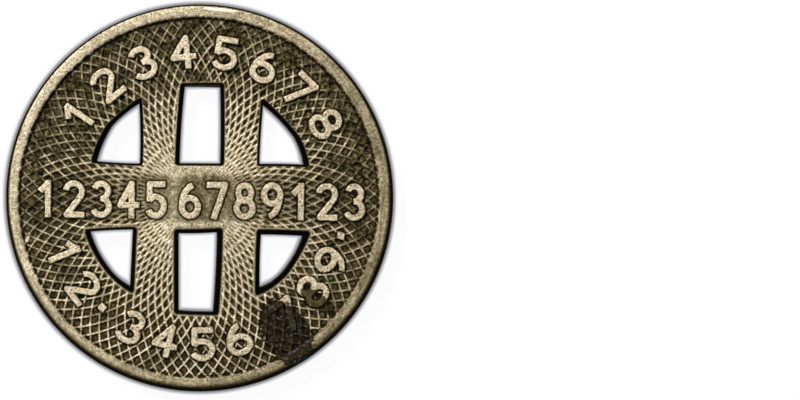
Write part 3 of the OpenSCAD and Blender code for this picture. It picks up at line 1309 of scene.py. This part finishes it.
def struck_metal(name, face, groups, blemishes_and_highlights):
    """Toned nickel silver for one face: dark olive in the recesses, rubbed pale on the heights."""
    material = bpy.data.materials.new(name)
    tree = emptied_tree(material)
    speckle = placed_group(tree, groups["speckle"], {"Place": object_place(tree)})
    mottle, grain = speckle["Mottle"], speckle["Grain"]
    design = point_attribute(tree, "design", "Vector")
    lift = point_attribute(tree, "lift")
    toned = placed_group(tree, groups["tone"], {
        "Design": design,
        "Numeral gap": point_attribute(tree, "numeral_gap"),
        "Window gap": point_attribute(tree, "window_gap"),
        "Middle gap": point_attribute(tree, "middle_gap"),
        "Lift": lift,
        "Mottle": mottle,
        **face["toning"],
        **face["die"],
    })
    pores = ramp(grain, 0.6, 0.74)
    tone = toned["Tone"]
    tone = tone * (1.0 - pores * 0.55) + (0.5 - grain) * (0.08 + tone * 1.7)

    x, y, _ = split_vector(tree, design)
    on_face = ramp(lift, 0.8, 0.97)
    covers = []
    # Stains, rubbed spots, scratches, and painted highlights on the rim
    for middle, reach, turn, blemish_or_highlight_tone, strength in blemishes_and_highlights:
        cover = blemish_or_highlight_cover(x, y, middle, reach, turn, mottle - 0.5) * strength * on_face
        tone = blend(tone, blemish_or_highlight_tone + tone * 0.14 + (mottle - 0.5) * 0.4, cover)
        covers.append(cover)
    film = covers[0]
    glints = film * ramp(mottle, 0.58, 0.68) * ramp(grain, 0.46, 0.58) * 0.85

    shader = tree.nodes.new("ShaderNodeBsdfPrincipled")
    colour = tinted(tree, metal_colour(tree, tone), GLINT_COLOUR, glints)
    tree.links.new(colour, shader.inputs["Base Color"])
    feed(tree, shader.inputs["Metallic"], ramp(tone, 0.1, 0.8) * 0.5)
    feed(tree, shader.inputs["Roughness"], 0.74 - tone * 0.16 + (grain - 0.5) * 0.1 - film * 0.12)
    shader.inputs["Specular IOR Level"].default_value = 0.02
    bump = tree.nodes.new("ShaderNodeBump")
    bump.inputs["Strength"].default_value = 0.7
    bump.inputs["Distance"].default_value = 0.014 * MM
    feed(tree, bump.inputs["Height"], grain + mottle)
    tree.links.new(bump.outputs["Normal"], shader.inputs["Normal"])
    show(tree, shader)
    return material


# ---------------------------------------------------------------- stage

# Rows of the contact shade: how far each lies outside the token's edge or inside a window, and how
# grey it is. The outer rows but the first lie further out, to show past the token's own height.
CONTACT_ROWS = (
    (-0.4, 1.0),
    (0.0, 1.0),
    (0.05, 0.78),
    (0.1, 0.5),
    (0.15, 0.22),
    (0.2, 0.09),
    (0.26, 0.0),
)
OUTER_CONTACT_REACH = 0.19
WINDOW_CONTACT_GAP = 0.01
CONTACT_LIFT = 0.001
# How much of red, green and blue the shade takes from the floor
CONTACT_GREY = (0.7, 0.69, 0.64)

# Reach of the floor in token radii, and where it fades into the backdrop
FLOOR_REACH = 12
FLOOR_FADE = (2.2, 8)
# How pale the floor is to the lamps' light, and to the rays that see it as white, which also see
# it glow up to white. The glow is lower by this near the token, so that its shadow shows.
FLOOR_PALE = 0.8
FLOOR_SEEN_PALE = 0.1
FLOOR_NEAR_DIM = 0.06

# The token's share of the frame's width, how far the lens is shifted to put it on the left, and
# how far the camera is below the token's centre, in token radii
TOKEN_SHARE = 0.48625
SIDEWAYS_SHIFT = 0.2505
CAMERA_DROP = 0.011


def white_rays(tree):
    """1 for the rays that see the stage as white: the camera's and mirrored or bent ones."""
    path = tree.nodes.new("ShaderNodeLightPath")
    seen = Wire(tree, path.outputs["Is Camera Ray"])
    for name in ("Is Glossy Ray", "Is Transmission Ray"):
        seen = seen.most(Wire(tree, path.outputs[name]))
    return seen


def make_floor():
    """A pale floor that keeps the token's shadow and fades into the backdrop further out."""
    size = FLOOR_REACH * OUTER_R * MM
    corners = [(-size, -size, 0), (size, -size, 0), (size, size, 0), (-size, size, 0)]
    floor = add_object("floor", new_mesh("floor", corners, [(0, 1, 2, 3)]))
    material = bpy.data.materials.new("pale_floor")
    floor.data.materials.append(material)
    tree = emptied_tree(material)
    seen = white_rays(tree)
    x, y, _ = split_vector(tree, object_place(tree))
    near = (1.0 - ramp(radius(x, y) / OUTER_R, *FLOOR_FADE)) * seen
    shaded = tree.nodes.new("ShaderNodeBsdfDiffuse")
    pale = blend(FLOOR_PALE, near * FLOOR_SEEN_PALE, seen)
    feed(tree, shaded.inputs["Color"], joined_vector(tree, pale, pale, pale * 1.01))
    glow = tree.nodes.new("ShaderNodeEmission")
    glow.inputs["Color"].default_value = (1, 1, 1, 1)
    feed(tree, glow.inputs["Strength"], seen - near * FLOOR_NEAR_DIM)
    shaded_and_glow = tree.nodes.new("ShaderNodeAddShader")
    tree.links.new(shaded.outputs[0], shaded_and_glow.inputs[0])
    tree.links.new(glow.outputs[0], shaded_and_glow.inputs[1])
    show(tree, shaded_and_glow)


def contact_row(window, i, gap):
    """Row i of the shade inside a window, or outside the edge where window is None."""
    if window:
        return inner_loop(window, gap + WINDOW_CONTACT_GAP)
    return ring(OUTER_R + gap + OUTER_CONTACT_REACH * (i > 0), EDGE_POINTS)


def make_contact_shade():
    """A painted shadow: a soft grey line on the floor along the token's outer edge and its windows.
    """
    vertices, shades, faces = [], [], []
    for window in (None, *WINDOWS.values()):
        for i, (gap, shade) in enumerate(CONTACT_ROWS):
            row = contact_row(window, i, gap)
            count = len(row)
            outer = np.arange(len(vertices), len(vertices) + count)
            inner = outer - count
            vertices += [(x * MM, y * MM, CONTACT_LIFT * MM) for x, y in row]
            shades += [shade] * count
            if i:
                quads = np.column_stack([inner, np.roll(inner, -1), np.roll(outer, -1), outer])
                faces += [tuple(quad) for quad in quads]
    mesh = new_mesh("contact_shade", vertices, faces)
    mesh.attributes.new("shade", "FLOAT", "POINT").data.foreach_set("value", shades)
    shade_lines = add_object("contact_shade", mesh)
    material = bpy.data.materials.new("contact_grey")
    mesh.materials.append(material)
    tree = emptied_tree(material)
    shade = point_attribute(tree, "shade")
    glow = tree.nodes.new("ShaderNodeEmission")
    colour = joined_vector(tree, *(1.0 - shade * part for part in CONTACT_GREY))
    feed(tree, glow.inputs["Color"], colour)
    feed(tree, glow.inputs["Strength"], white_rays(tree))
    show(tree, glow)


def make_world():
    world = bpy.data.worlds.new("studio")
    bpy.context.scene.world = world
    tree = emptied_tree(world)
    backdrop = tree.nodes.new("ShaderNodeBackground")
    backdrop.inputs["Color"].default_value = (1, 1, 1, 1)
    feed(tree, backdrop.inputs["Strength"], white_rays(tree) * 0.7 + 0.3)
    show(tree, backdrop, "World")


def make_lamp(name, place, size, power):
    """A square area lamp at place, in token radii from the token's centre, that faces it."""
    data = bpy.data.lights.new(name, "AREA")
    data.size = size * OUTER_R * MM
    data.energy = power
    lamp = add_object(name, data)
    lamp.location = Vector(place) * OUTER_R * MM
    lamp.rotation_mode = "QUATERNION"
    lamp.rotation_quaternion = (-lamp.location).to_track_quat("-Z", "Y")


def make_camera():
    """Straight above the token, which fills about half of the frame's width, on its left."""
    data = bpy.data.cameras.new("camera")
    data.lens = 75
    data.shift_x = SIDEWAYS_SHIFT
    frame_w = 2 * OUTER_R * MM / TOKEN_SHARE
    distance = data.lens / data.sensor_width * frame_w
    data.clip_start = 0.1 * distance
    data.clip_end = 50 * distance
    camera = add_object("camera", data)
    camera.location = (0, -CAMERA_DROP * OUTER_R * MM, token_high.z + distance)
    bpy.context.scene.camera = camera


# ---------------------------------------------------------------- the token


def main():
    bpy.context.scene.view_settings.view_transform = "Standard"
    make_camera()
    make_world()
    make_floor()
    make_contact_shade()
    make_lamp("key", (-15, 18, 19), 10, 1.25)
    make_lamp("fill", (22, -6, 18), 14, 0.08)

    tree = strike_tree()
    groups = {"tone": struck_tone_group(), "speckle": speckle_group()}
    pieces = []
    for name, face in FACES.items():
        metal = struck_metal(name + "_metal", face, groups, BLEMISHES_AND_HIGHLIGHTS[name])
        pieces.append(struck_half(name, face, tree, metal))
    for piece in pieces:
        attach(piece, "root")
        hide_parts("token")


main()
